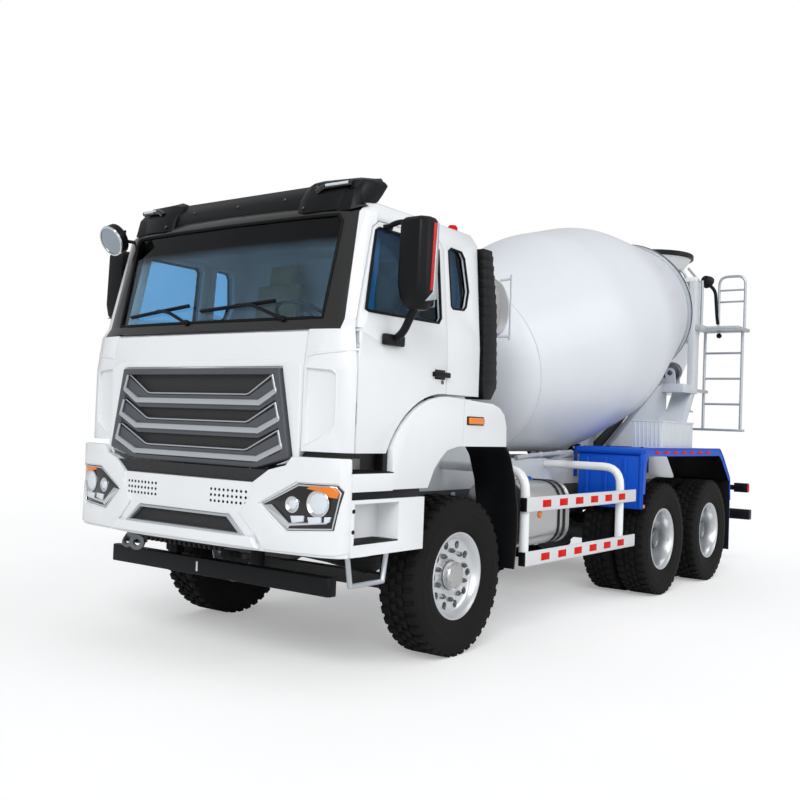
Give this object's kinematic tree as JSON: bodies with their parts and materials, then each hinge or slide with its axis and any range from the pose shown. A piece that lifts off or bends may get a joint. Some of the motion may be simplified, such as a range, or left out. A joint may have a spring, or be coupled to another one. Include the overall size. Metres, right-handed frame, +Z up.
{
  "type": "concrete mixer truck",
  "caption": "Forward-control lorry with a tilting cab, opening doors, steered front wheels, twin rear wheels and a revolving concrete drum with hopper and swinging chute.",
  "frame": {"origin": "on the ground, under the middle of the truck's overall length and width", "axes": "+Z up, the truck faces -Y, its left side is +X"},
  "size_m": [2.996, 8.13, 3.835],
  "materials": {
    "white_paint": "white gloss paint",
    "grey_paint": "light grey gloss paint",
    "dark_paint": "dark grey satin chassis paint",
    "blue_paint": "blue gloss paint",
    "silver_paint": "silver paint",
    "black_plastic": "black moulded plastic",
    "grey_plastic": "dark grey moulded plastic",
    "tyre_rubber": "black tyre rubber",
    "alloy": "polished aluminium",
    "stainless": "brushed stainless steel",
    "bare_steel": "machined steel",
    "clear_glass": "clear",
    "beige_cloth": "woven seat cloth"
  },
  "bodies": {
    "root": {"chassis_frame": "dark_paint", "mixer_frame": "grey_paint", "engine_block": "dark_paint", "driveline": "dark_paint", "front_axle": "dark_paint", "middle_axle": "dark_paint", "rear_axle": "dark_paint", "rear_springs": "dark_paint", "radiator": "dark_paint", "front_bumper": "white_paint", "headlight_left": "clear_glass", "headlight_right": "clear_glass", "front_underrun_bar": "black_plastic", "front_wing_left": "white_paint", "front_wing_right": "white_paint", "fuel_tank": "alloy", "battery_box": "grey_plastic", "side_guard_left": "silver_paint", "side_guard_right": "silver_paint", "rear_wing_left": "blue_paint", "rear_wing_right": "blue_paint", "rear_underrun_bar": "black_plastic", "water_tank": "stainless", "charge_hopper": "white_paint", "discharge_collector": "white_paint", "ladder": "silver_paint", "drum_drive": "grey_plastic"},
    "cab": {"cab_shell": "white_paint", "roof_visor": "black_plastic", "windscreen": "clear_glass", "intake_stack": "black_plastic", "dashboard": "grey_plastic", "driver_seat": "beige_cloth", "passenger_seat": "beige_cloth"},
    "front_flap": {"front_flap": "white_paint", "grille": "grey_plastic"},
    "door_left": {"door_left": "white_paint", "mirror_left": "black_plastic"},
    "steering_left": {"knuckle_left": "dark_paint"},
    "front_wheel_left": {"front_tyre_left": "tyre_rubber", "front_rim_left": "alloy"},
    "middle_wheels_left": {"middle_outer_wheel_left": "tyre_rubber", "middle_inner_wheel_left": "tyre_rubber"},
    "rear_wheels_left": {"rear_outer_wheel_left": "tyre_rubber", "rear_inner_wheel_left": "tyre_rubber"},
    "door_right": {"door_right": "white_paint", "mirror_right": "black_plastic"},
    "steering_right": {"knuckle_right": "dark_paint"},
    "front_wheel_right": {"front_tyre_right": "tyre_rubber", "front_rim_right": "alloy"},
    "middle_wheels_right": {"middle_outer_wheel_right": "tyre_rubber", "middle_inner_wheel_right": "tyre_rubber"},
    "rear_wheels_right": {"rear_outer_wheel_right": "tyre_rubber", "rear_inner_wheel_right": "tyre_rubber"},
    "drum": {"drum": "white_paint"},
    "roller_left": {"roller_left": "bare_steel"},
    "roller_right": {"roller_right": "bare_steel"},
    "chute_arm": {"chute_arm": "white_paint"},
    "chute": {"chute": "white_paint"}
  },
  "joints": [
    {"name": "cab_tilt", "type": "hinge", "parent": "root", "child": "cab", "pos_m": [0, -3.939, 1.15], "axis": [1, 0, 0], "range_deg": [0, 45]},
    {"name": "door_left_hinge", "type": "hinge", "parent": "cab", "child": "door_left", "pos_m": [1.2, -3.799, 1.84], "axis": [0, 0, -1], "range_deg": [0, 68]},
    {"name": "door_right_hinge", "type": "hinge", "parent": "cab", "child": "door_right", "pos_m": [-1.2, -3.799, 1.84], "axis": [0, 0, 1], "range_deg": [0, 68]},
    {"name": "front_flap_hinge", "type": "hinge", "parent": "cab", "child": "front_flap", "pos_m": [0, -3.924, 2.092], "axis": [-1, 0, 0], "range_deg": [0, 78]},
    {"name": "steer_left", "type": "hinge", "parent": "root", "child": "steering_left", "pos_m": [0.86, -2.614, 0.545], "axis": [0, 0, 1], "range_deg": [-35, 35]},
    {"name": "steer_right", "type": "hinge", "parent": "root", "child": "steering_right", "pos_m": [-0.86, -2.614, 0.545], "axis": [0, 0, 1], "range_deg": [-35, 35]},
    {"name": "front_wheel_left_spin", "type": "hinge", "parent": "steering_left", "child": "front_wheel_left", "pos_m": [1.05, -2.614, 0.545], "axis": [1, 0, 0], "continuous": true},
    {"name": "front_wheel_right_spin", "type": "hinge", "parent": "steering_right", "child": "front_wheel_right", "pos_m": [-1.05, -2.614, 0.545], "axis": [1, 0, 0], "continuous": true},
    {"name": "middle_wheels_left_spin", "type": "hinge", "parent": "root", "child": "middle_wheels_left", "pos_m": [0.93, 1.011, 0.545], "axis": [1, 0, 0], "continuous": true},
    {"name": "middle_wheels_right_spin", "type": "hinge", "parent": "root", "child": "middle_wheels_right", "pos_m": [-0.93, 1.011, 0.545], "axis": [1, 0, 0], "continuous": true},
    {"name": "rear_wheels_left_spin", "type": "hinge", "parent": "root", "child": "rear_wheels_left", "pos_m": [0.93, 2.361, 0.545], "axis": [1, 0, 0], "continuous": true},
    {"name": "rear_wheels_right_spin", "type": "hinge", "parent": "root", "child": "rear_wheels_right", "pos_m": [-0.93, 2.361, 0.545], "axis": [1, 0, 0], "continuous": true},
    {"name": "drum_spin", "type": "hinge", "parent": "root", "child": "drum", "pos_m": [0, 0.9723, 2.5676], "axis": [0, 0.9673, 0.2538], "continuous": true},
    {"name": "roller_left_spin", "type": "hinge", "parent": "root", "child": "roller_left", "pos_m": [0.5242, 2.9963, 2.3245], "axis": [0, 0.9673, 0.2538], "continuous": true},
    {"name": "roller_right_spin", "type": "hinge", "parent": "root", "child": "roller_right", "pos_m": [-0.5242, 2.9963, 2.3245], "axis": [0, 0.9673, 0.2538], "continuous": true},
    {"name": "chute_swing", "type": "hinge", "parent": "root", "child": "chute_arm", "pos_m": [0, 3.716, 1.41], "axis": [0, 0, -1], "range_deg": [0, 120]},
    {"name": "chute_tilt", "type": "hinge", "parent": "chute_arm", "child": "chute", "pos_m": [0, 3.716, 1.85], "axis": [0, 1, 0], "range_deg": [-10, 25]}
  ],
  "couplings": [
    {"joint": "steer_right", "follows": "steer_left", "ratio": 1},
    {"joint": "roller_left_spin", "follows": "drum_spin", "ratio": -7.2636},
    {"joint": "roller_right_spin", "follows": "drum_spin", "ratio": -7.2636}
  ]
}
